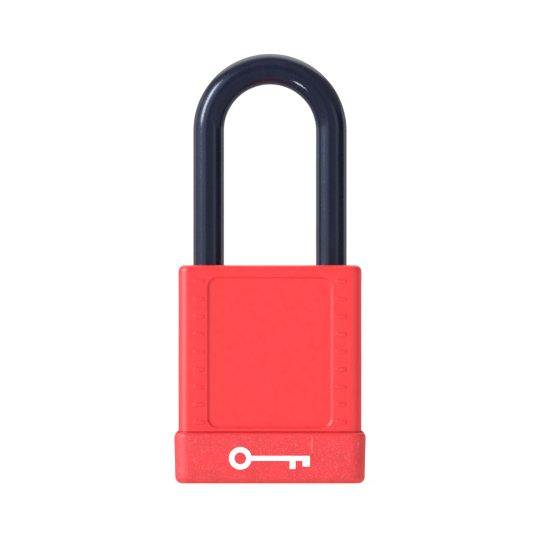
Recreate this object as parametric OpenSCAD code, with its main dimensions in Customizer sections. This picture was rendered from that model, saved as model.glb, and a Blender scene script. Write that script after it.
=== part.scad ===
// Keyed safety padlock: a metal lock core inside a moulded cover and a bottom cap,
// with a sleeved steel shackle held by two balls that a turning cam backs up.
// Millimetres, +Z up, origin at the middle of the resting face, front towards -Y.

/* [Body] */
// Width of the moulded cover, across the two shackle legs
body_w = 38.3; // [38:0.1:39]
// Depth of the moulded cover, front to back
body_d = 19.5; // [19.3:0.1:20.5]
// Height of the cover's top face above the resting face
body_h = 45.6; // [45:0.1:47]
// Wall of the moulded cover
cover_wall = 1.4; // [1.2:0.1:1.5]
// Rounding of the cover's upright corners, seen from above
cover_corner_r = 2.2; // [1.8:0.1:2.6]
// Rounding of the cover's top edge
cover_edge_r = 1.3; // [1:0.1:1.6]
// Depth of the groove that shows as a dark line where the cover meets the cap
groove_depth = 0.25; // [0.1:0.05:0.3]

/* [Bottom cap] */
// Width of the bottom cap
cap_w = 40.1; // [40:0.1:41]
// Depth of the bottom cap, front to back
cap_d = 21.3; // [21.2:0.1:22]
// Height of the bottom cap
cap_h = 10.6; // [10:0.1:11]
// Rounding of the cap's upright corners, seen from above
cap_corner_r = 3; // [2.6:0.1:3.4]
// Amount by which each narrow side of the cap leans in towards the base
cap_draft = 0.2; // [0:0.05:0.3]
// Depth to which the cap laps over the cover
cap_lap = 2; // [1.5:0.1:2.5]

/* [Shackle] */
// Diameter of the shackle over its sleeve
shackle_d = 6.5; // [6.4:0.05:6.5]
// Clear width between the legs
shackle_gap = 19.3; // [19.2:0.1:19.4]
// Clear height from the cover to the inside of the bend
shackle_clear_h = 38; // [30:1:75]
// Travel that takes the toe leg out of the body
shackle_lift = 12; // [11.9:0.1:12]
// Wall of the insulating sleeve
sleeve_wall = 0.5; // [0.4:0.1:0.6]

/* [Label panel] */
// Width of the recessed label panel
panel_w = 25.9; // [24:0.1:26.5]
// Height of the recessed label panel
panel_h = 31.3; // [28:0.1:31.4]
// Depth of the recessed label panel
panel_depth = 0.4; // [0.2:0.1:0.5]
// Rounding of the panel's corners
panel_corner_r = 2; // [1:0.1:3]
// Raised grip ribs in each of the columns beside the panel
rib_count = 9; // [5:1:10]

/* [Cylinder] */
// Diameter of the turning plug
plug_d = 10; // [9.8:0.1:10]
// Pin stacks in the cylinder
pin_count = 6; // [4:1:6]
// Distance from one pin stack to the next
pin_pitch = 3.9; // [3.8:0.1:3.9]
// Diameter of the pins
pin_d = 2.7; // [2.4:0.1:2.7]

/* [Locking] */
// Diameter of the locking balls
ball_d = 5; // [4.8:0.1:5]
// Depth to which a ball enters its notch in the leg
ball_bite = 1.3; // [1.2:0.05:1.3]
// Travel of a ball while the plug makes its quarter turn
ball_travel = 4; // [3.8:0.1:4]

/* [Hidden] */
$fn = 64;
HULL_FN = 32;
PIN_NUMBERS = [for (i = [1 : pin_count]) i];

// Fits
eps = 0.01;
snug = 0.05;
slide_fit = 0.1;
pin_fit = 0.01;
through = 60;

// Bottom cap
cap_top_r = 0.8;
cap_bottom_r = 1.4;
cap_floor = 1.8;
cap_rim_gap = 0.15;
key_hole_r = 5.7;
lug_w = 5;
lug_x = 11;
lug_z = 4.2;
lug_h = 1.6;
lug_out = 0.5;
symbol_z = 5.3;
symbol_depth = 0.2;

// Lock core
core_w = body_w - 2 * (cover_wall + snug);
core_d = body_d - 2 * (cover_wall + snug);
core_corner_r = 0.8;
core_bottom = cap_floor + snug;
core_top = body_h - cover_wall - snug;

// Shackle
leg_x = (shackle_gap + shackle_d) / 2;
leg_r = shackle_d / 2;
bar_r = leg_r - sleeve_wall;
bend_z = body_h + shackle_clear_h - shackle_gap / 2;
sleeve_end = body_h - 2.6;
leg_bore_r = leg_r + slide_fit;
cover_hole_r = leg_r + 0.15;
tip_chamfer = 0.8;

// Locking balls, their channel and the ramped notches that they leave as the shackle rises
ball_r = ball_d / 2;
ball_z = 40;
ball_x = leg_x - leg_r + ball_bite - ball_r;
ball_ramp = shackle_lift / ball_travel;
notch_r = ball_r + 0.12;
notch_exit = ball_bite + 0.15;
toe_tip = ball_z - ball_bite * ball_ramp - 2;
toe_bore_end = toe_tip - 0.6;

// Heel leg: its retaining pin, the flat that the pin runs along and the neck that stops it
heel_pin_r = 0.9;
heel_pin_x = leg_x + 2.7;
heel_pin_z = 36;
heel_flat_x = heel_pin_x - heel_pin_r - 0.15;
heel_neck_r = heel_flat_x - leg_x;
heel_neck_z = heel_pin_z - shackle_lift;
heel_neck_h = 2;
heel_tip = heel_neck_z - heel_neck_h / 2 - 1.6;
heel_bore_end = heel_tip - 6.4;
spring_wire_r = 0.4;
spring_coil_r = 2.5;
spring_turns = 5;

// Cylinder
plug_r = plug_d / 2 - snug;
housing_r = 7;
housing_top = 29;
bible_w = 6;
bible_end = 13.5;
strip_t = 0.8;
strip_w = 4.4;
strip_in = bible_end - strip_t - snug;
first_pin_z = 5.6;
chamber_r = pin_d / 2 + snug;
chamber_floor = 1;
driver_start = plug_d / 2 + snug;
driver_len = 3.3;
key_pin_top = sqrt(pow(plug_r - snug, 2) - pow(pin_d / 2, 2));
key_pin_lengths = [2.2, 3.3, 2.7, 3.6, 3, 2.4];
key_pin_cone = 0.7;
pin_spring_r = 1.05;
pin_spring_wire = 0.18;
pin_spring_turns = 4;
cylinder_pin_x = housing_r + 0.2;
cylinder_pin_z = 10;
dowel_r = 1;

// Plug ends
flange_r = 5.5;
flange_bottom = 0.5;
neck_r = 4;
clip_z = housing_top + 0.15;
clip_t = 0.7;
clip_r = 5.8;
clip_gap = 4;
collar_z = clip_z + clip_t + snug;
collar_top = collar_z + 0.7;
tang_t = 2.4;
tang_w = 8;
tang_top = collar_top + 2.4;
keyway_top = 28;

// Cam, turned a quarter by the plug
cam_r = ball_x - ball_r - snug;
cam_cavity_r = cam_r + 0.25;
cam_stem_r = 5;
cam_bottom = collar_top + slide_fit;
cam_head_z = ball_z - ball_r - 0.7;
cam_top = ball_z + ball_r + 0.1;
cam_cavity_top = cam_top + 0.3;
cam_swing = 90;

function pin_z(i) = first_pin_z + (i - 1) * pin_pitch;

// ---------- shared shapes ----------

// Rounded rectangle, centred, with true arcs
module rounded_rect(w, h, r) {
    square([w - 2 * r, h], center = true);
    square([w, h - 2 * r], center = true);
    for (x = [-1, 1], y = [-1, 1])
        translate([x * (w / 2 - r), y * (h / 2 - r)]) circle(r);
}

// Disc with a round rim, used at the corners of a rounded block
module corner_disc(corner_r, edge_r)
    rotate_extrude() intersection() {
        translate([corner_r - edge_r, 0]) circle(edge_r);
        translate([0, -edge_r]) square([corner_r, 2 * edge_r]);
    }

// Block with rounded upright corners and rounded top and bottom edges. A bottom_r of 0 is a sharp edge
module soft_block(w, d, h, corner_r, top_r, bottom_r, draft = 0)
    hull() for (x = [-1, 1], y = [-1, 1]) {
        translate([x * (w / 2 - corner_r), y * (d / 2 - corner_r), h - top_r])
            corner_disc(corner_r, top_r, $fn = HULL_FN);
        translate([x * (w / 2 - corner_r - draft), y * (d / 2 - corner_r), bottom_r])
            if (bottom_r > 0)
                corner_disc(corner_r, bottom_r, $fn = HULL_FN);
            else
                cylinder(r = corner_r, h = 1, $fn = HULL_FN);
    }

// A 2D shape in X and Z, made solid from the plane y outwards by t, towards -Y
module face_extrude(y, t)
    translate([0, y, 0]) rotate([90, 0, 0]) linear_extrude(t) children();

// The front shape and its copy on the back
module front_and_back()
    for (turn = [0, 180]) rotate(turn) children();

// Cylinder along -X that starts at distance x from the axis
module side_cylinder(x, r, length, z = 0)
    translate([-x, 0, z]) rotate([0, -90, 0]) cylinder(r = r, h = length);

// Cylinder along Y through the whole lock
module cross_cylinder(x, z, r, length)
    translate([x, length / 2, z]) rotate([90, 0, 0]) cylinder(r = r, h = length);

// Coil spring standing on z = 0, of round wire
module coil_spring(coil_r, wire_r, length, turns, steps, sides) {
    last = turns * steps;
    points = [for (i = [0 : last], k = [0 : sides - 1])
        let (turn = 360 * i / steps, around = 360 * k / sides, reach = coil_r + wire_r * cos(around))
        [reach * cos(turn), reach * sin(turn),
         wire_r + (length - 2 * wire_r) * i / last + wire_r * sin(around)]];
    walls = [for (i = [0 : last - 1], k = [0 : sides - 1])
        let (n = (k + 1) % sides)
        [i * sides + k, i * sides + n, (i + 1) * sides + n, (i + 1) * sides + k]];
    ends = [[for (k = [sides - 1 : -1 : 0]) k], [for (k = [0 : sides - 1]) last * sides + k]];
    polyhedron(points, concat(walls, ends), convexity = 8);
}

// ---------- cover and cap ----------

module label_panel()
    translate([0, cap_h + 1.1 + panel_h / 2]) rounded_rect(panel_w, panel_h, panel_corner_r);

module grip_ribs() {
    first = cap_h + 2.2;
    step = (body_h - 3.4 - first) / (rib_count - 1);
    column_x = panel_w / 2 + 1.9;
    for (x = [-column_x, column_x], i = [0 : rib_count - 1])
        translate([x, first + i * step]) rounded_rect(2.1, 0.8, 0.39);
}

// Groove round the cover, from just inside the cap to just above it
module joint_groove() {
    translate([0, 0, cap_h - 0.3])
        linear_extrude(0.55)
            difference() {
                rounded_rect(body_w + 1, body_d + 1, cover_corner_r + 0.5);
                rounded_rect(body_w - 2 * groove_depth, body_d - 2 * groove_depth, cover_corner_r - groove_depth);
            }
}

module body_cover() color("tomato") {
    bottom = cap_h - cap_lap;
    difference() {
        union() {
            translate([0, 0, bottom])
                soft_block(body_w, body_d, body_h - bottom, cover_corner_r, cover_edge_r, 0);
            front_and_back() face_extrude(-body_d / 2 + 0.3, 0.3 + 0.15) grip_ribs();
        }
        translate([0, 0, bottom - 1])
            linear_extrude(body_h - cover_wall - bottom + 1)
                rounded_rect(body_w - 2 * cover_wall, body_d - 2 * cover_wall, core_corner_r);
        for (x = [-leg_x, leg_x])
            translate([x, 0, 0]) cylinder(r = cover_hole_r, h = through);
        front_and_back() face_extrude(-body_d / 2 + panel_depth, 1) label_panel();
        joint_groove();
    }
}

module snap_lugs(grow = 0)
    for (x = [-lug_x, lug_x])
        front_and_back() translate([x - lug_w / 2 - grow, -core_d / 2 - snug - eps, lug_z - grow])
            cube([lug_w + 2 * grow, lug_out + grow + eps, lug_h + 2 * grow]);

module key_symbol()
    translate([-6.2, symbol_z]) {
        difference() {
            circle(2.35);
            circle(1.25);
        }
        translate([1.9, -0.5]) square([12.6, 1]);
        translate([10.3, -2.2]) square([1.2, 2.2]);
        translate([13, -1.7]) square([1.5, 1.7]);
    }

module bottom_cap() color("orangered") {
    difference() {
        soft_block(cap_w, cap_d, cap_h, cap_corner_r, cap_top_r, cap_bottom_r, cap_draft);
        translate([0, 0, cap_floor])
            linear_extrude(cap_h)
                rounded_rect(core_w + 2 * snug, core_d + 2 * snug, core_corner_r);
        translate([0, 0, cap_h - cap_lap - snug])
            linear_extrude(cap_h)
                rounded_rect(body_w + 2 * cap_rim_gap, body_d + 2 * cap_rim_gap, cover_corner_r);
        translate([0, 0, -1]) cylinder(r = key_hole_r, h = cap_floor + 2);
        face_extrude(-cap_d / 2 + symbol_depth, 1) key_symbol();
    }
    snap_lugs();
}

module cap_symbol() color("white")
    face_extrude(-cap_d / 2 + symbol_depth, symbol_depth) key_symbol();

// ---------- core and its pins ----------

// Pocket that takes the cylinder from below: a round barrel with a block on the toe side
module cylinder_outline(grow = 0) {
    circle(housing_r + grow);
    translate([-bible_end - grow, -bible_w / 2 - grow])
        square([bible_end + grow, bible_w + 2 * grow]);
}

module lock_core() color("silver") difference() {
    translate([0, 0, core_bottom])
        linear_extrude(core_top - core_bottom) rounded_rect(core_w, core_d, core_corner_r);
    translate([0, 0, core_bottom - 1])
        linear_extrude(housing_top + snug - core_bottom + 1) cylinder_outline(snug);
    cylinder(r = cam_cavity_r, h = cam_cavity_top);
    translate([leg_x, 0, heel_bore_end]) cylinder(r = leg_bore_r, h = through);
    translate([-leg_x, 0, toe_bore_end]) cylinder(r = leg_bore_r, h = through);
    side_cylinder(-leg_x, ball_r + slide_fit, through, ball_z);
    cross_cylinder(heel_pin_x, heel_pin_z, heel_pin_r + pin_fit, through);
    cross_cylinder(cylinder_pin_x, cylinder_pin_z, dowel_r + pin_fit, through);
    snap_lugs(slide_fit);
}

module heel_pin() color("dimgray")
    cross_cylinder(heel_pin_x, heel_pin_z, heel_pin_r, core_d - 2 * snug);

module cylinder_pin() color("dimgray")
    cross_cylinder(cylinder_pin_x, cylinder_pin_z, dowel_r, core_d - 2 * snug);

// ---------- shackle ----------

// Path of a ball through the leg, cut as a pocket with a ramp that runs out of the leg's inner side
module ball_notch() {
    run = [notch_exit, notch_exit * ball_ramp];
    translate([ball_x, 0, ball_z]) {
        sphere(notch_r);
        rotate([0, 180 + atan2(run.x, run.y), 0]) cylinder(r = notch_r, h = norm(run));
        translate([-run.x, 0, -run.y]) sphere(notch_r);
    }
}

module leg_end(tip)
    translate([0, 0, tip]) {
        cylinder(r1 = leg_r - tip_chamfer, r2 = leg_r, h = tip_chamfer);
        translate([0, 0, tip_chamfer]) cylinder(r = leg_r, h = sleeve_end - tip - tip_chamfer);
    }

module shackle_bar() color("lightsteelblue") difference() {
    union() {
        translate([0, 0, bend_z]) rotate([90, 0, 0])
            rotate_extrude(angle = 180) translate([leg_x, 0]) circle(bar_r);
        for (x = [-leg_x, leg_x])
            translate([x, 0, sleeve_end]) cylinder(r = bar_r, h = bend_z - sleeve_end);
        translate([-leg_x, 0, 0]) leg_end(toe_tip);
        translate([leg_x, 0, 0]) leg_end(heel_tip);
    }
    ball_notch();
    mirror([1, 0, 0]) ball_notch();
    translate([heel_flat_x, -leg_r - 1, heel_neck_z])
        cube([leg_r, 2 * leg_r + 2, heel_pin_z + heel_pin_r + 0.15 - heel_neck_z]);
    translate([leg_x, 0, heel_neck_z - heel_neck_h / 2]) difference() {
        cylinder(r = leg_r + 1, h = heel_neck_h);
        translate([0, 0, -1]) cylinder(r = heel_neck_r, h = heel_neck_h + 2);
    }
}

module sleeve_section() difference() {
    circle(leg_r);
    circle(bar_r);
}

module shackle_sleeve() color("#20222e") {
    translate([0, 0, bend_z]) rotate([90, 0, 0])
        rotate_extrude(angle = 180) translate([leg_x, 0]) sleeve_section();
    for (x = [-leg_x, leg_x])
        translate([x, 0, sleeve_end]) linear_extrude(bend_z - sleeve_end) sleeve_section();
}

module shackle_spring() color("gray")
    translate([leg_x, 0, heel_bore_end + snug])
        coil_spring(spring_coil_r, spring_wire_r, heel_tip - heel_bore_end - 2 * snug,
                    spring_turns, 16, 6);

module toe_ball() color("gainsboro") translate([-ball_x, 0, ball_z]) sphere(ball_r);

module heel_ball() color("gainsboro") translate([ball_x, 0, ball_z]) sphere(ball_r);

// ---------- cylinder ----------

module cylinder_housing() color("goldenrod") difference() {
    translate([0, 0, core_bottom]) linear_extrude(housing_top - core_bottom) cylinder_outline();
    cylinder(r = plug_d / 2, h = through);
    for (i = PIN_NUMBERS) side_cylinder(0, chamber_r, through, pin_z(i));
    translate([-through - strip_in, -strip_w / 2 - snug, core_bottom - 1])
        cube([through, strip_w + 2 * snug, housing_top - core_bottom]);
    cross_cylinder(cylinder_pin_x, cylinder_pin_z, dowel_r + pin_fit, through);
}

module chamber_strip() color("darkkhaki")
    translate([-bible_end, -strip_w / 2, core_bottom])
        cube([strip_t, strip_w, housing_top - core_bottom - 1 - snug]);

// Slot for the key's blade: the profile has a ward on each side
module keyway()
    polygon([[-3.9, 0.7], [-2.2, 0.7], [-1.6, 1.3], [0.2, 1.3], [0.8, 0.4], [2.2, 0.4],
             [2.8, 1], [4.3, 1], [4.3, -0.6], [2.9, -0.6], [2.2, -1.2], [0.4, -1.2],
             [-0.4, -0.2], [-1.8, -0.2], [-2.4, -0.9], [-3.9, -0.9]]);

module plug() color("gold") {
    difference() {
        rotate_extrude() polygon([
            [0, flange_bottom], [flange_r - 0.4, flange_bottom], [flange_r, flange_bottom + 0.4],
            [flange_r, core_bottom - snug], [plug_r, core_bottom - snug],
            [plug_r, clip_z - snug], [neck_r, clip_z - snug], [neck_r, collar_z],
            [plug_r, collar_z], [plug_r, collar_top], [0, collar_top]]);
        linear_extrude(2 * keyway_top, center = true) keyway();
        for (i = PIN_NUMBERS) side_cylinder(chamber_floor, chamber_r, plug_d, pin_z(i));
    }
    translate([-tang_w / 2, -tang_t / 2, collar_top]) cube([tang_w, tang_t, tang_top - collar_top]);
}

module plug_clip() color("lightgray") translate([0, 0, clip_z]) difference() {
    cylinder(r = clip_r, h = clip_t);
    translate([0, 0, -1]) cylinder(r = neck_r + snug, h = clip_t + 2);
    translate([0, -clip_gap / 2, -1]) cube([2 * clip_r, clip_gap, clip_t + 2]);
}

// Where a ball stands in the cam's own frame once the cam has turned by a
function ball_seat(a) = (ball_x - ball_travel * a / cam_swing) * [cos(a), -sin(a)];
function ball_drift(a) =
    let (inward = -ball_travel / (cam_swing * PI / 180), x = norm(ball_seat(a)))
    inward * [cos(a), -sin(a)] - x * [sin(a), cos(a)];
function flank_point(a) =
    let (t = ball_drift(a), n = [t.y, -t.x] / norm(t))
    ball_seat(a) + (ball_r + slide_fit) * n;

module cam_outline() difference() {
    circle(cam_r);
    for (turn = [0, 180]) rotate(turn) {
        polygon(concat(
            [for (a = [0 : 6 : cam_swing]) flank_point(a)],
            [for (a = [cam_swing : -15 : 0]) 2 * cam_r * [cos(a), -sin(a)]]));
        translate(ball_seat(cam_swing)) circle(ball_r + slide_fit);
    }
}

module locking_cam() color("slategray") difference() {
    union() {
        translate([0, 0, cam_bottom]) cylinder(r = cam_stem_r, h = cam_head_z - cam_bottom);
        translate([0, 0, cam_head_z]) linear_extrude(cam_top - cam_head_z) cam_outline();
    }
    translate([-cam_stem_r - 1, -tang_t / 2 - slide_fit, cam_bottom - 1])
        cube([2 * cam_stem_r + 2, tang_t + 2 * slide_fit, tang_top + slide_fit - cam_bottom + 1]);
}

// ---------- pin stacks ----------

module key_pin(i) color("darkgoldenrod")
    translate([-key_pin_top, 0, pin_z(i)]) rotate([0, 90, 0]) {
        shank = key_pin_lengths[i - 1] - key_pin_cone;
        cylinder(r = pin_d / 2, h = shank);
        translate([0, 0, shank]) cylinder(r1 = pin_d / 2, r2 = pin_d / 2 - key_pin_cone, h = key_pin_cone);
    }

module driver_pin(i) color("peru")
    side_cylinder(driver_start, pin_d / 2, driver_len, pin_z(i));

module pin_spring(i) color("gray") {
    start = driver_start + driver_len + snug;
    translate([-start, 0, pin_z(i)]) rotate([0, -90, 0])
        coil_spring(pin_spring_r, pin_spring_wire, strip_in - start, pin_spring_turns, 12, 6);
}

body_cover();
bottom_cap();
cap_symbol();
lock_core();
heel_pin();
cylinder_pin();
shackle_bar();
shackle_sleeve();
shackle_spring();
toe_ball();
heel_ball();
cylinder_housing();
chamber_strip();
plug();
plug_clip();
locking_cam();
for (i = PIN_NUMBERS) {
    key_pin(i);
    driver_pin(i);
    pin_spring(i);
}
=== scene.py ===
"""Looks of the keyed safety padlock: moulded shells, sleeve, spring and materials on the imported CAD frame.

Lengths are in metres. X runs across the shackle, -Y is the front, +Z is up and the lock stands on Z = 0.
"""

import math

import bmesh
import bpy
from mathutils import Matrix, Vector, noise
from mathutils.geometry import tessellate_polygon


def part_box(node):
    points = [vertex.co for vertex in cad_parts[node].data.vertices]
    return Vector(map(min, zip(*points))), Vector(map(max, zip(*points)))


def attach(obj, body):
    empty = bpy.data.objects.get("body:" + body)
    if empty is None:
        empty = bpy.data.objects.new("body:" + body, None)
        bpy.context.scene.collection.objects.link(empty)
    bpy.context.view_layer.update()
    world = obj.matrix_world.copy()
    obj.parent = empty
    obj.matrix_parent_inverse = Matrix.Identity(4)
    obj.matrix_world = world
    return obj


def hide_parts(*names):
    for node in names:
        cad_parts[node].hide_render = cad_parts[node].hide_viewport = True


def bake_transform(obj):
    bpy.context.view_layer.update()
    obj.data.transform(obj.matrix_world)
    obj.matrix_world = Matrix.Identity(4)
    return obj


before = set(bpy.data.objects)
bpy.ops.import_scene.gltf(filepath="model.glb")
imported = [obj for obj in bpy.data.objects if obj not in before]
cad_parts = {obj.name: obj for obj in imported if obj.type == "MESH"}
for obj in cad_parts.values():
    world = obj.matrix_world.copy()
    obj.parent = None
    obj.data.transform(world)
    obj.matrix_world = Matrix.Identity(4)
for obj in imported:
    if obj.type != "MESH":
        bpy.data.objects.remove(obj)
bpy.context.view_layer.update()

MM = 0.001
QUARTER = 8          # steps in a quarter turn of a rounded edge
CORNER = 12          # steps in a quarter turn of an upright corner
CIRCLE = 64          # points on a full circle
WELD = 1e-7          # points closer than this become one
SHARP_ANGLE = math.radians(38)
FLAT_WEIGHT = 80     # how strongly flat faces hold the normals round them


# ---------- mesh building ----------

def rounded_outline(width, height, radius, steps=CORNER):
    """Points of a rounded rectangle round (0, 0), anticlockwise from its lower right corner."""
    points = []
    for turn, (sx, sy) in enumerate([(1, -1), (1, 1), (-1, 1), (-1, -1)]):
        cx, cy = sx * (width / 2 - radius), sy * (height / 2 - radius)
        for i in range(steps + 1):
            angle = math.pi / 2 * (turn - 1 + i / steps)
            points.append((cx + radius * math.cos(angle), cy + radius * math.sin(angle)))
    return points


def circle_outline(radius, steps=CIRCLE):
    """Points of a circle round (0, 0), anticlockwise."""
    return [(radius * math.cos(2 * math.pi * i / steps), radius * math.sin(2 * math.pi * i / steps))
            for i in range(steps)]


def spaced(start, end, steps):
    """Evenly spaced numbers from start to end, both included."""
    return [start + (end - start) * i / steps for i in range(steps + 1)]


def arc(start_angle, end_angle, steps=QUARTER):
    """(cos, sin) of evenly spaced angles in degrees."""
    angles = [math.radians(angle) for angle in spaced(start_angle, end_angle, steps)]
    return [(math.cos(angle), math.sin(angle)) for angle in angles]


def soft_step(height, radius, steps=6):
    """(inset, rise) along an S-shaped step, centred on its edge, from level 0 to height."""
    turn = math.acos(1 - abs(height) / (2 * radius))
    reach = radius * math.sin(turn)
    sign = math.copysign(1, height)
    for i in range(steps + 1):
        angle = turn * i / steps
        yield radius * math.sin(angle) - reach, sign * radius * (1 - math.cos(angle))
    for i in range(steps - 1, -1, -1):
        angle = turn * i / steps
        yield reach - radius * math.sin(angle), height - sign * radius * (1 - math.cos(angle))


class Shell:
    """A mesh made of rings of points that are joined by walls and closed by flat faces."""

    def __init__(self):
        self.mesh = bmesh.new()

    def ring(self, points):
        return [self.mesh.verts.new(p) for p in points]

    def level_ring(self, outline, z, x=0):
        """Ring of an outline laid flat at height z, with its middle at x."""
        return self.ring([(x + px, py, z) for px, py in outline])

    def wall(self, rings, closed=True):
        """Quads between each ring and the next."""
        for a, b in zip(rings, rings[1:]):
            last = len(a) if closed else len(a) - 1
            for i in range(last):
                j = (i + 1) % len(a)
                self.mesh.faces.new((a[i], a[j], b[j], b[i]))

    def flat(self, outer, holes=()):
        """Flat face inside the outer ring, open at the holes."""
        rings = [outer, *holes]
        verts = [v for ring in rings for v in ring]
        for triangle in tessellate_polygon([[v.co for v in ring] for ring in rings]):
            corners = {verts[i] for i in triangle}
            if len(corners) == 3 and not self.mesh.faces.get(list(corners)):
                self.mesh.faces.new([verts[i] for i in triangle])

    def to_object(self, name, material):
        """Makes the object and puts it in the scene."""
        data = bpy.data.meshes.new(name)
        self.mesh.to_mesh(data)
        self.mesh.free()
        data.materials.append(material)
        piece = bpy.data.objects.new(name, data)
        bpy.context.scene.collection.objects.link(piece)
        return piece

    def finish(self, name, body, material, slot, *replaced):
        """Makes a piece of the lock, smooth and with its flat faces kept flat, and, when it has a body,
        hands it to the frame.
        """
        bmesh.ops.remove_doubles(self.mesh, verts=self.mesh.verts, dist=WELD)
        bmesh.ops.recalc_face_normals(self.mesh, faces=self.mesh.faces)
        for edge in self.mesh.edges:
            edge.smooth = edge.calc_face_angle(0) < SHARP_ANGLE
        piece = self.to_object(name, material)
        polygons = piece.data.polygons
        polygons.foreach_set("use_smooth", [True] * len(polygons))
        weigh = piece.modifiers.new("flat_faces_stay_flat", "WEIGHTED_NORMAL")
        weigh.mode = "FACE_AREA"
        weigh.weight = FLAT_WEIGHT
        weigh.keep_sharp = True
        if body:
            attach(piece, body)
        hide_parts(*replaced)
        return piece


def soft_patch(shell, place, size, radius, centre, step, corner_steps=CORNER):
    """Rounded rectangle raised or sunk by a soft step, put in space by place. Returns its outer ring."""
    rings = []
    for inset, out in step:
        points = rounded_outline(size[0] - 2 * inset, size[1] - 2 * inset, radius - inset, corner_steps)
        rings.append(shell.ring([place(centre[0] + x, centre[1] + y, out) for x, y in points]))
    shell.wall(rings)
    shell.flat(rings[-1])
    return rings[0]


def rounded_hole(shell, radius, mouth, mouth_z, end_z, steps, x=0):
    """Upright round hole with a rounded mouth. Returns the rings at its mouth and at its end."""
    inwards = math.copysign(1, end_z - mouth_z)
    profile = [(radius + mouth * (1 - c), mouth_z + inwards * mouth * (1 - s)) for c, s in arc(90, 0, steps)]
    profile.append((radius, end_z))
    rings = [shell.level_ring(circle_outline(r), z, x) for r, z in profile]
    shell.wall(rings)
    return rings[0], rings[-1]


def front_of(depth):
    """Maps a point across and up the front face, and a height out of it, into space."""
    return lambda across, up, out: (across, -depth / 2 - out, up)


def back_of(depth):
    """The same for the back face."""
    return lambda across, up, out: (-across, depth / 2 + out, up)


# ---------- materials ----------

NOISE_SPAN = (0.3, 0.7)               # nearly all of a noise field lies between these
RING_SPACING = 0.3                    # about that of a wave texture's rings at scale 1
STEEL_ROUGHNESS = (-0.07, 0.09)       # how far a steel's roughness goes either way


def new_material(name, base, roughness, **sockets):
    """Principled material, with its node tree, its shader and the object coordinates.

    A socket is named with _ for each space.
    """
    material = bpy.data.materials.new(name)
    material.use_nodes = True
    tree = material.node_tree
    shader = tree.nodes["Principled BSDF"]
    shader.inputs["Base Color"].default_value = (*base, 1)
    shader.inputs["Roughness"].default_value = roughness
    for socket, value in sockets.items():
        shader.inputs[socket.replace("_", " ")].default_value = value
    place = tree.nodes.new("ShaderNodeTexCoord").outputs["Object"]
    return material, tree, shader, place


def noise_field(tree, place, size, detail=3.0, rough=0.55, stretch=(1, 1, 1)):
    """Noise with blotches about size metres across, longer on an axis whose stretch is below 1."""
    mapping = tree.nodes.new("ShaderNodeMapping")
    mapping.inputs["Scale"].default_value = stretch
    tree.links.new(place, mapping.inputs["Vector"])
    field = tree.nodes.new("ShaderNodeTexNoise")
    field.inputs["Scale"].default_value = 1 / size
    field.inputs["Detail"].default_value = detail
    field.inputs["Roughness"].default_value = rough
    tree.links.new(mapping.outputs["Vector"], field.inputs["Vector"])
    return field.outputs["Fac"]


def remap(tree, value, low, high, span=NOISE_SPAN):
    """Value taken from span to low..high."""
    node = tree.nodes.new("ShaderNodeMapRange")
    for socket, number in zip(("From Min", "From Max", "To Min", "To Max"), (*span, low, high)):
        node.inputs[socket].default_value = number
    tree.links.new(value, node.inputs["Value"])
    return node.outputs["Result"]


def blend_colours(tree, value, under, over):
    """Goes from under, a colour or a colour output, to the colour over as value rises."""
    mix = tree.nodes.new("ShaderNodeMix")
    mix.data_type = "RGBA"
    if isinstance(under, tuple):
        mix.inputs["A"].default_value = (*under, 1)
    else:
        tree.links.new(under, mix.inputs["A"])
    mix.inputs["B"].default_value = (*over, 1)
    tree.links.new(value, mix.inputs["Factor"])
    return mix.outputs["Result"]


def tinted(colour, factor):
    return tuple(min(1.0, channel * factor) for channel in colour)


def uneven(tree, field, base, dark, light, span=NOISE_SPAN):
    """Base colour, times dark where the field is low and times light where it is high."""
    return blend_colours(tree, remap(tree, field, 0, 1, span), tinted(base, dark), tinted(base, light))


def link_surface(tree, shader, colour, roughness):
    tree.links.new(colour, shader.inputs["Base Color"])
    tree.links.new(roughness, shader.inputs["Roughness"])


def add_bump(tree, shader, height, depth, under=None):
    """Bump of depth metres, on top of the normal output under."""
    bump = tree.nodes.new("ShaderNodeBump")
    bump.inputs["Strength"].default_value = 1
    bump.inputs["Distance"].default_value = depth
    tree.links.new(height, bump.inputs["Height"])
    if under is not None:
        tree.links.new(under, bump.inputs["Normal"])
    tree.links.new(bump.outputs["Normal"], shader.inputs["Normal"])
    return bump.outputs["Normal"]


def satin_moulding():
    """Smooth nylon: faint flow marks, a very fine grain and softly varying gloss."""
    red, pale_red = (0.8, 0.004, 0.006), (0.84, 0.016, 0.021)
    material, tree, shader, place = new_material(
        "satin_red_nylon", red, 0.44, IOR=1.53, Specular_IOR_Level=1.0)
    flow = noise_field(tree, place, 9 * MM, detail=2, stretch=(1, 1, 0.35))
    mottle = noise_field(tree, place, 1 * MM, detail=4)
    grain = noise_field(tree, place, 0.16 * MM, detail=2)
    colour = uneven(tree, flow, red, 0.965, 1.03)
    colour = blend_colours(tree, remap(tree, mottle, 0, 0.35, (0.4, 0.75)), colour, pale_red)
    link_surface(tree, shader, colour, remap(tree, mottle, 0.39, 0.49))
    waves = add_bump(tree, shader, flow, 0.05 * MM)
    add_bump(tree, shader, grain, 0.004 * MM, waves)
    return material


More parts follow.
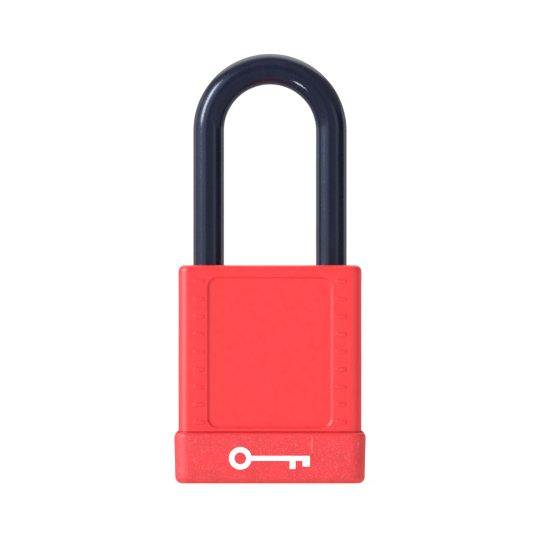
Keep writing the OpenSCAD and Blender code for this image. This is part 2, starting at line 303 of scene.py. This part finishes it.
def grained_moulding():
    """Spark-textured nylon of the cap: matte, with pale specks on its grain and a few pale scuffs."""
    red, speck, scratch = (0.74, 0.014, 0.02), (0.92, 0.22, 0.22), (0.93, 0.28, 0.28)
    material, tree, shader, place = new_material(
        "grained_red_nylon", red, 0.55, IOR=1.5, Specular_IOR_Level=0.85)
    grain = noise_field(tree, place, 0.24 * MM, detail=4, rough=0.6)
    cloud = noise_field(tree, place, 3.5 * MM)
    scuff = noise_field(tree, place, 0.9 * MM, stretch=(1, 1, 0.15))
    colour = uneven(tree, cloud, red, 0.9, 1.06)
    colour = blend_colours(tree, remap(tree, grain, 0, 0.7, (0.54, 0.74)), colour, speck)
    colour = blend_colours(tree, remap(tree, scuff, 0, 0.35, (0.68, 0.76)), colour, scratch)
    link_surface(tree, shader, colour, remap(tree, grain, 0.44, 0.62))
    add_bump(tree, shader, grain, 0.03 * MM)
    return material


def printed_white():
    """Pad-printed ink that lies a little unevenly."""
    thin, thick = (0.92, 0.88, 0.88), (0.96, 0.95, 0.96)
    material, tree, shader, place = new_material("white_ink", (0.94, 0.93, 0.93), 0.5)
    ink = noise_field(tree, place, 0.5 * MM)
    colour = blend_colours(tree, remap(tree, ink, 0, 1, (0.35, 0.6)), thin, thick)
    link_surface(tree, shader, colour, remap(tree, ink, 0.42, 0.6, (0, 1)))
    add_bump(tree, shader, ink, 0.01 * MM)
    return material


def glossy_sleeve():
    """Blue-black dipped sleeve: shallow runs along its length, a fine pebbled skin and pale dust."""
    black, dust = (0.006, 0.007, 0.022), (0.06, 0.07, 0.13)
    material, tree, shader, place = new_material(
        "blue_black_sleeve", black, 0.18, IOR=1.5, Specular_IOR_Level=0.46,
        Specular_Tint=(0.78, 0.86, 1.0, 1), Coat_Weight=0.15, Coat_Roughness=0.06)
    runs = noise_field(tree, place, 2.2 * MM, detail=2, stretch=(1, 1, 0.18))
    pebble = noise_field(tree, place, 0.3 * MM, detail=4, rough=0.7)
    colour = uneven(tree, runs, black, 0.8, 1.25)
    colour = blend_colours(tree, remap(tree, pebble, 0, 0.5, (0.6, 0.78)), colour, dust)
    link_surface(tree, shader, colour, remap(tree, pebble, 0.15, 0.29, (0.35, 0.7)))
    smooth = add_bump(tree, shader, runs, 0.035 * MM)
    add_bump(tree, shader, pebble, 0.0045 * MM, smooth)
    return material


def drawn_steel(name, base, roughness, stretch):
    """Steel with darker stains, and a fine grain that stretch draws out into lines along one axis."""
    material, tree, shader, place = new_material(name, base, roughness, Metallic=1.0)
    lines = noise_field(tree, place, 0.12 * MM, stretch=stretch)
    stain = noise_field(tree, place, 2.5 * MM, detail=4)
    gloss = remap(tree, lines, *[roughness + change for change in STEEL_ROUGHNESS])
    link_surface(tree, shader, uneven(tree, stain, base, 0.78, 1.1), gloss)
    add_bump(tree, shader, lines, 0.004 * MM)
    return material


def turned_brass(name, base, pitch):
    """Brass with the rings that a lathe tool leaves round the Z axis, and a dull patina."""
    material, tree, shader, place = new_material(name, base, 0.3, Metallic=1.0)
    rings = tree.nodes.new("ShaderNodeTexWave")
    rings.wave_type = "RINGS"
    rings.rings_direction = "Z"
    rings.inputs["Scale"].default_value = RING_SPACING / pitch
    rings.inputs["Distortion"].default_value = 0.6
    rings.inputs["Detail"].default_value = 2
    tree.links.new(place, rings.inputs["Vector"])
    patina = noise_field(tree, place, 1.8 * MM, detail=4)
    colour = uneven(tree, patina, base, 0.7, 1.08, (0.3, 0.72))
    link_surface(tree, shader, colour, remap(tree, patina, 0.24, 0.42))
    add_bump(tree, shader, rings.outputs["Fac"], 0.006 * MM)
    return material


def milled_aluminium():
    """Core block: pale, with cutter marks along X."""
    base = (0.72, 0.73, 0.75)
    material, tree, shader, place = new_material("milled_aluminium", base, 0.35, Metallic=1.0)
    marks = noise_field(tree, place, 0.2 * MM, detail=2, stretch=(0.05, 1, 1))
    cloud = noise_field(tree, place, 4 * MM)
    link_surface(tree, shader, uneven(tree, cloud, base, 0.88, 1.05), remap(tree, marks, 0.28, 0.45))
    add_bump(tree, shader, marks, 0.006 * MM)
    return material


# ---------- sizes shared by the shells ----------

COVER_LOW, COVER_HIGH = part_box("body_cover")
CAP_LOW, CAP_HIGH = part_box("bottom_cap")
CORE_LOW, CORE_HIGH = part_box("lock_core")
SLEEVE_LOW, SLEEVE_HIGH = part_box("shackle_sleeve")

LEG_RADIUS = (SLEEVE_HIGH.y - SLEEVE_LOW.y) / 2
LEG_X = SLEEVE_HIGH.x - LEG_RADIUS

RIB_HEIGHT = 0.15 * MM
COVER_WIDTH = COVER_HIGH.x - COVER_LOW.x
COVER_DEPTH = COVER_HIGH.y - COVER_LOW.y - 2 * RIB_HEIGHT     # without the ribs
COVER_CORNER = 2.2 * MM
CORE_WIDTH = CORE_HIGH.x - CORE_LOW.x
CORE_DEPTH = CORE_HIGH.y - CORE_LOW.y
CORE_GAP = 0.05 * MM          # clearance round the core and under the cover
POCKET_CORNER = 0.8 * MM      # upright corners of the spaces that hold the core


# ---------- moulded cover ----------

COVER_EDGE = 1.3 * MM         # rolled top edge
LEG_HOLE_RADIUS = LEG_RADIUS + 0.15 * MM
LEG_HOLE_MOUTH = 0.3 * MM

PANEL_SIZE = (25.9 * MM, 31.3 * MM)
PANEL_RADIUS = 2 * MM
PANEL_DEPTH = 0.4 * MM
PANEL_SOFTNESS = 0.34 * MM    # radius of the lip and the foot of its step
PANEL_Z = CAP_HIGH.z + 1.1 * MM + PANEL_SIZE[1] / 2

RIB_SIZE = (2.1 * MM, 0.8 * MM)
RIB_RADIUS = 0.39 * MM
RIB_SOFTNESS = 0.12 * MM
RIB_COUNT = 9
RIB_X = PANEL_SIZE[0] / 2 + 1.9 * MM
RIB_LOW = CAP_HIGH.z + 2.2 * MM
RIB_HIGH = COVER_HIGH.z - 3.4 * MM

GROOVE_DEPTH = 0.25 * MM
GROOVE_LOW = CAP_HIGH.z - 0.3 * MM
GROOVE_HIGH = CAP_HIGH.z + 0.21 * MM
GROOVE_SLOPE = 0.1 * MM       # height of its slanting upper side


def panel_recess(shell, place):
    """Sunken label panel with a soft lip and foot. Returns the ring at its lip."""
    step = soft_step(-PANEL_DEPTH, PANEL_SOFTNESS)
    return soft_patch(shell, place, PANEL_SIZE, PANEL_RADIUS, (0, PANEL_Z), step)


def grip_rib(shell, place, x, z):
    """Low raised bar with a soft foot and a rounded crown. Returns the ring at its foot."""
    step = soft_step(RIB_HEIGHT, RIB_SOFTNESS, steps=4)
    return soft_patch(shell, place, RIB_SIZE, RIB_RADIUS, (x, z), step, corner_steps=6)


def body_cover(material):
    shell = Shell()
    side_top = COVER_HIGH.z - COVER_EDGE

    def level(inset, z):
        outline = rounded_outline(COVER_WIDTH - 2 * inset, COVER_DEPTH - 2 * inset, COVER_CORNER - inset)
        return shell.level_ring(outline, z)

    # Foot that stands in the cap, then the groove that shows as a dark line above the cap
    foot, base = level(0, COVER_LOW.z), level(0, GROOVE_HIGH + GROOVE_SLOPE)
    groove = [level(0, GROOVE_LOW), level(GROOVE_DEPTH, GROOVE_LOW), level(GROOVE_DEPTH, GROOVE_HIGH)]
    shell.wall([foot, *groove, base])

    # Upright sides: the corners and ends are walls, the front and the back are flat faces with holes
    shoulder = level(0, side_top)
    half = len(base) // 2
    for start in (0, half):
        shell.wall([ring[start:start + half] for ring in (base, shoulder)], closed=False)
    for place, left, right in [(front_of(COVER_DEPTH), -1, 0), (back_of(COVER_DEPTH), half - 1, half)]:
        holes = [panel_recess(shell, place)]
        holes += [grip_rib(shell, place, x, z)
                  for x in (-RIB_X, RIB_X) for z in spaced(RIB_LOW, RIB_HIGH, RIB_COUNT - 1)]
        shell.flat([base[left], base[right], shoulder[right], shoulder[left]], holes)

    # Rolled top edge and the top with its two leg holes
    rolled = [shoulder] + [level(COVER_EDGE * (1 - c), side_top + COVER_EDGE * s) for c, s in arc(0, 90)[1:]]
    shell.wall(rolled)
    wall = (COVER_WIDTH - CORE_WIDTH) / 2 - CORE_GAP
    ceiling = COVER_HIGH.z - wall
    leg_holes = [rounded_hole(shell, LEG_HOLE_RADIUS, LEG_HOLE_MOUTH, COVER_HIGH.z, ceiling, steps=5, x=x)
                 for x in (-LEG_X, LEG_X)]
    outer_holes, inner_holes = zip(*leg_holes)
    shell.flat(rolled[-1], outer_holes)

    # Inside of the shell
    inside = rounded_outline(COVER_WIDTH - 2 * wall, COVER_DEPTH - 2 * wall, POCKET_CORNER)
    inner_low, inner_high = [shell.level_ring(inside, z) for z in (COVER_LOW.z, ceiling)]
    shell.wall([inner_low, inner_high])
    shell.flat(inner_high, inner_holes)
    shell.flat(foot, [inner_low])
    shell.finish("cover_shell", "body", material, "red_cover", "body_cover")


# ---------- bottom cap ----------

CAP_CORNER = 3 * MM
CAP_DRAFT = 0.2 * MM          # how much narrower the underside is on each side
CAP_FOOT = 1.4 * MM           # rounding of the lower edge
CAP_RIM = (0.68 * MM, 1.05 * MM)     # width and height of the rounded upper edge
REBATE_GAP = 0.15 * MM        # clearance round the cover
KEY_HOLE_RADIUS = 5.7 * MM
KEY_HOLE_MOUTH = 0.4 * MM
PRINT_RELIEF = 0.02 * MM


def bottom_cap(material):
    shell = Shell()
    width = CAP_HIGH.x - CAP_LOW.x
    depth = CAP_HIGH.y - CAP_LOW.y - 2 * PRINT_RELIEF
    top = CAP_HIGH.z
    floor = CORE_LOW.z - CORE_GAP

    def level(z, inset_x, inset_y):
        corner = CAP_CORNER - min(inset_x, inset_y)
        return shell.level_ring(rounded_outline(width - 2 * inset_x, depth - 2 * inset_y, corner), z)

    underside = [level(CAP_FOOT * (1 - s), CAP_DRAFT + CAP_FOOT * (1 - c), CAP_FOOT * (1 - c))
                 for c, s in arc(90, 0)]
    rim_width, rim_height = CAP_RIM
    rim = [level(top - rim_height * (1 - s), rim_width * (1 - c), rim_width * (1 - c))
           for c, s in arc(0, 90)]
    shell.wall(underside + rim)

    # Rebate that the cover stands in, then the pocket round the core
    ledge = COVER_LOW.z - CORE_GAP
    cover_space = rounded_outline(COVER_WIDTH + 2 * REBATE_GAP, COVER_DEPTH + 2 * REBATE_GAP, COVER_CORNER)
    core_space = rounded_outline(CORE_WIDTH + 2 * CORE_GAP, CORE_DEPTH + 2 * CORE_GAP, POCKET_CORNER)
    rebate = [shell.level_ring(cover_space, z) for z in (top, ledge)]
    pocket = [shell.level_ring(core_space, z) for z in (ledge, floor)]
    shell.flat(rim[-1], [rebate[0]])
    shell.wall(rebate)
    shell.flat(rebate[1], [pocket[0]])
    shell.wall(pocket)

    # Key hole with a rounded mouth
    mouth, end = rounded_hole(shell, KEY_HOLE_RADIUS, KEY_HOLE_MOUTH, 0, floor, steps=6)
    shell.flat(underside[0], [mouth])
    shell.flat(pocket[1], [end])
    shell.finish("cap_shell", "body", material, "red_cap", "bottom_cap")


def cap_symbol(material):
    """Plain key seen from the side, printed on the front of the cap: a round bow, a blade and two teeth."""
    low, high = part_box("cap_symbol")
    bow, eye_radius, half_blade = 2.35 * MM, 1.25 * MM, 0.5 * MM
    middle = (low.z + high.z) / 2
    centre_x = low.x + bow
    tip = high.x - centre_x
    start = math.degrees(math.asin(half_blade / bow))
    outline = [(bow * c, bow * s) for c, s in arc(start, 360 - start, 48)]
    teeth = [(-4.2, -0.5), (-4.2, -2.2), (-3.0, -2.2), (-3.0, -0.5),
             (-1.5, -0.5), (-1.5, -1.7), (0, -1.7), (0, 0.5)]     # in mm from the tip
    outline += [(x * MM + tip, y * MM) for x, y in teeth]
    eye = circle_outline(eye_radius, 40)
    shell = Shell()

    def ring(points, y):
        return shell.ring([(centre_x + px, y, middle + pz) for px, pz in points])

    fronts = [ring(points, low.y) for points in (outline, eye)]
    backs = [ring(points, high.y) for points in (outline, eye)]
    shell.flat(fronts[0], [fronts[1]])
    shell.flat(backs[0], [backs[1]])
    for front, back in zip(fronts, backs):
        shell.wall([front, back])
    shell.finish("cap_print", "body", material, "white_print", "cap_symbol")


# ---------- shackle sleeve ----------

LEG_STEPS = 40
BEND_STEPS = 120
BEND_Z = SLEEVE_HIGH.z - LEG_X - LEG_RADIUS


def shackle_path(bottom):
    """Centre line of the shackle with the direction across it, from the toe end to the heel end."""
    leg = spaced(bottom, BEND_Z, LEG_STEPS)[:-1]
    toe = [(Vector((-LEG_X, 0, z)), Vector((-1, 0, 0))) for z in leg]
    bend = [(Vector((LEG_X * c, 0, BEND_Z + LEG_X * s)), Vector((c, 0, s)))
            for c, s in arc(180, 0, BEND_STEPS)]
    heel = [(Vector((LEG_X, 0, z)), Vector((1, 0, 0))) for z in reversed(leg)]
    return toe + bend + heel


def shackle_sleeve(material):
    """Sleeve whose wall is a little uneven, as a dipped one is, with rounded ends."""
    around = 96
    wall, roll = 0.5 * MM, 0.2 * MM
    unevenness, waves_per_metre = 0.014 * MM, 260
    bottom = SLEEVE_LOW.z
    shell = Shell()

    def section(centre, across, inset):
        points = []
        for i in range(around):
            turn = 2 * math.pi * i / around
            ray = across * math.cos(turn) + Vector((0, -math.sin(turn), 0))
            sag = unevenness * (1 - noise.noise((centre + ray * LEG_RADIUS) * waves_per_metre))
            points.append(centre + ray * (LEG_RADIUS - max(sag, inset)))
        return shell.ring(points)

    path = shackle_path(bottom + roll)
    ends = []
    for centre, across in (path[0], path[-1]):
        ends.append([section(centre - Vector((0, 0, roll * s)), across, roll * (1 - c))
                     for c, s in arc(0, 90, 5)[1:]])
    outer = ends[0][::-1] + [section(centre, across, 0) for centre, across in path] + ends[1]
    inner = [section(centre, across, wall) for centre, across in shackle_path(bottom)]
    shell.wall(outer)
    shell.wall(inner)
    for end in (0, -1):
        shell.wall([outer[end], inner[end]])
    shell.finish("sleeve_skin", "shackle", material, "black_sleeve", "shackle_sleeve")


# ---------- shackle spring ----------

def coil_height(turn, turns, rise, closed):
    """Height of the wire's middle at a turn: closed is the rise of the end turns, even ones lie between."""
    pitch = (rise - 2 * closed) / (turns - 2)
    ends = min(turn, 1) + max(turn - turns + 1, 0)
    return closed * ends + pitch * min(max(turn - 1, 0), turns - 2)


def shackle_spring(material):
    """Coil spring of round wire under the heel leg."""
    low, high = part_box("shackle_spring")
    wire = 0.4 * MM
    closed = 2.1 * wire
    coil = (high.x - low.x) / 2 - wire
    turns, steps, sides = 5, 36, 12
    axis = Vector(((low.x + high.x) / 2, 0, low.z + wire))
    shell = Shell()
    rings = []
    for i in range(turns * steps + 1):
        around = 2 * math.pi * i / steps
        outward = Vector((math.cos(around), math.sin(around), 0))
        rise = coil_height(i / steps, turns, high.z - low.z - 2 * wire, closed)
        centre = axis + outward * coil + Vector((0, 0, rise))
        rings.append(shell.ring([centre + outward * u + Vector((0, 0, v))
                                 for u, v in circle_outline(wire, sides)]))
    shell.wall(rings)
    shell.flat(rings[0])
    shell.flat(rings[-1])
    piece = shell.finish("leg_spring", None, material, "spring_steel", "shackle_spring")
    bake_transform(piece)


# ---------- CAD nodes that stay ----------

def paint(nodes, material):
    """Gives CAD nodes a material."""
    for name in nodes:
        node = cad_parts[name]
        node.data.materials.clear()
        node.data.materials.append(material)


def numbered(stem):
    """Names of the CAD nodes that begin with stem."""
    return [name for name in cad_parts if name.startswith(stem)]


EVEN, ALONG_Z, ALONG_Y = (1, 1, 1), (1, 1, 0.04), (1, 0.04, 1)     # stretches of a steel's grain


def dress_frame(spring_wire):
    paint(["shackle_bar"], drawn_steel("plated_bar", (0.62, 0.63, 0.65), 0.24, ALONG_Z))
    paint(["heel_pin", "cylinder_pin"], drawn_steel("ground_pin", (0.5, 0.51, 0.53), 0.3, ALONG_Y))
    paint(["toe_ball", "heel_ball"], drawn_steel("polished_ball", (0.75, 0.76, 0.78), 0.14, EVEN))
    paint(["locking_cam"], drawn_steel("sintered_cam", (0.42, 0.43, 0.45), 0.45, EVEN))
    paint(["plug_clip", *numbered("pin_spring")], spring_wire)
    paint(["cylinder_housing", "chamber_strip"], turned_brass("housing_brass", (0.72, 0.52, 0.24), 0.4 * MM))
    paint(["plug"], turned_brass("plug_brass", (0.82, 0.62, 0.3), 0.22 * MM))
    paint(numbered("key_pin"), turned_brass("key_pin_brass", (0.84, 0.66, 0.33), 0.3 * MM))
    paint(numbered("driver_pin"), turned_brass("driver_pin_brass", (0.74, 0.56, 0.28), 0.3 * MM))
    paint(["lock_core"], milled_aluminium())


# ---------- studio ----------

EYE_HEIGHT = 44.6 * MM
VIEW_WIDTH = 112.75 * MM      # seen from side to side at the lock's front
LENS = 400
SENSOR = 36
FLOOR_RADIUS = 30
FLOOR_Z = -0.05 * MM
FLOOR_GLOW = 0.71
WORLD_GLOW = 1.07
LIT_POINT = Vector((0, 0, 45 * MM))
TENT_RADIUS = 1.9
TENT_STEPS = 8

# Softboxes: name, azimuth, elevation, distance, size, power and, for one, mirrored
SOFTBOXES = [
    ("key", -59, 24, 0.9, (0.24, 0.5), 7.2),
    ("top_back", 180, 60, 1.5, (2.4, 1.6), 13.5),
    ("low_fill", 42, 5, 1.4, (1.0, 0.2), 1.5, False),
]

# Cloths of the tent: name, azimuths, elevations, radiance, colour and, for some, lit and distance
NEUTRAL, COOL = (1, 1, 1), (0.88, 0.96, 1.18)
CLOTHS = [
    ("tent_front", (-22, 6), (0.5, 35), 0.22, NEUTRAL),
    ("tent_front_right", (6, 33), (0.5, 35), 0.4, NEUTRAL),
    ("tent_front_high", (-22, 33), (35, 70), 0.55, NEUTRAL),
    ("tent_right", (55, 106), (0.5, 18), 0.03, NEUTRAL),
    ("tent_right_high", (33, 132), (18, 70), 0.36, NEUTRAL),
    ("tent_back", (132, 226), (0.5, 50), 0.4, NEUTRAL),
    ("tent_left_back", (-102, -92), (0.5, 40), 0.3, NEUTRAL),
    ("tent_left_bank", (-92, -22), (0.5, 40), 1.36, COOL),
    ("tent_left_high", (-102, -22), (40, 70), 0.35, NEUTRAL),
    ("tent_left_rear", (-134, -102), (30, 70), 0.3, NEUTRAL),
    ("tent_roof", (0, 360), (70, 90), 0.35, NEUTRAL),
    ("tent_below", (0, 360), (-90, 0), 0.4, NEUTRAL, False),
    ("low_glint", (-41, -31), (-44, -34), 34, NEUTRAL, False, 1.5),
]


def direction(azimuth, elevation):
    """Unit vector in degrees. Azimuth 0 is in front of the lock and 90 is on its +X side."""
    a, e = math.radians(azimuth), math.radians(elevation)
    return Vector((math.sin(a) * math.cos(e), -math.cos(a) * math.cos(e), math.sin(e)))


def stage_piece(shell, name, material):
    """Makes an object of the studio, not attached to any body of the lock."""
    piece = shell.to_object(name, material)
    return piece


def studio_floor():
    """Round white paper floor that runs out of sight. It is kept out of the reflections."""
    shell = Shell()
    shell.flat(shell.level_ring(circle_outline(FLOOR_RADIUS, 96), FLOOR_Z))
    paper, tree, shader, place = new_material(
        "lit_paper", (0.5, 0.5, 0.5), 0.9, Emission_Color=(1, 1, 1, 1), Emission_Strength=FLOOR_GLOW)
    fibre = noise_field(tree, place, 3 * MM)
    colour = blend_colours(tree, fibre, (0.49, 0.49, 0.49), (0.51, 0.51, 0.51))
    tree.links.new(colour, shader.inputs["Base Color"])
    stage_piece(shell, "studio_floor", paper).visible_glossy = False


def softbox(name, azimuth, elevation, distance, size, power, mirrored=True):
    """Rectangular light aimed at the lock. One that isn't mirrored doesn't show in gloss."""
    out = direction(azimuth, elevation)
    data = bpy.data.lights.new(name, "AREA")
    data.shape = "RECTANGLE"
    data.size, data.size_y = size
    data.energy = power
    light = bpy.data.objects.new(name, data)
    light.location = LIT_POINT + out * distance
    light.rotation_euler = (-out).to_track_quat("-Z", "Y").to_euler()
    light.visible_camera = False
    light.visible_glossy = mirrored
    bpy.context.scene.collection.objects.link(light)


def glowing(name, radiance, colour):
    """Material that only gives light."""
    material = bpy.data.materials.new(name)
    material.use_nodes = True
    tree = material.node_tree
    tree.nodes.remove(tree.nodes["Principled BSDF"])
    glow = tree.nodes.new("ShaderNodeEmission")
    glow.inputs["Color"].default_value = (*colour, 1)
    glow.inputs["Strength"].default_value = radiance
    tree.links.new(glow.outputs["Emission"], tree.nodes["Material Output"].inputs["Surface"])
    return material


def tent_cloth(name, azimuths, elevations, radiance, colour, lit=True, distance=TENT_RADIUS):
    """Glowing cloth of the light tent. The camera sees past it. An unlit one is only seen in gloss."""
    shell = Shell()
    shell.wall([shell.ring([direction(azimuth, elevation) * distance
                            for azimuth in spaced(*azimuths, TENT_STEPS)])
                for elevation in spaced(*elevations, TENT_STEPS)], closed=False)
    cloth = stage_piece(shell, name, glowing(name, radiance, colour))
    cloth.visible_camera = False
    cloth.visible_diffuse = lit
    cloth.visible_shadow = lit


def lights():
    for cloth in CLOTHS:
        tent_cloth(*cloth)
    for box in SOFTBOXES:
        softbox(*box)
    world = bpy.data.worlds.new("studio")
    world.use_nodes = True
    background = world.node_tree.nodes["Background"]
    background.inputs["Color"].default_value = (1, 1, 1, 1)
    background.inputs["Strength"].default_value = WORLD_GLOW
    bpy.context.scene.world = world


def camera():
    """Level camera straight in front of the lock."""
    data = bpy.data.cameras.new("front_camera")
    data.sensor_width = SENSOR
    data.lens = LENS
    data.clip_start, data.clip_end = 0.01, 20
    eye = bpy.data.objects.new("front_camera", data)
    eye.location = (0, COVER_LOW.y - VIEW_WIDTH * LENS / SENSOR, EYE_HEIGHT)
    eye.rotation_euler = (math.pi / 2, 0, 0)
    bpy.context.scene.collection.objects.link(eye)
    bpy.context.scene.camera = eye


camera()
studio_floor()
lights()
bpy.context.scene.view_settings.view_transform = "Standard"

body_cover(satin_moulding())
bottom_cap(grained_moulding())
cap_symbol(printed_white())
shackle_sleeve(glossy_sleeve())
WIRE = drawn_steel("spring_wire", (0.56, 0.57, 0.59), 0.26, EVEN)
shackle_spring(WIRE)
dress_frame(WIRE)
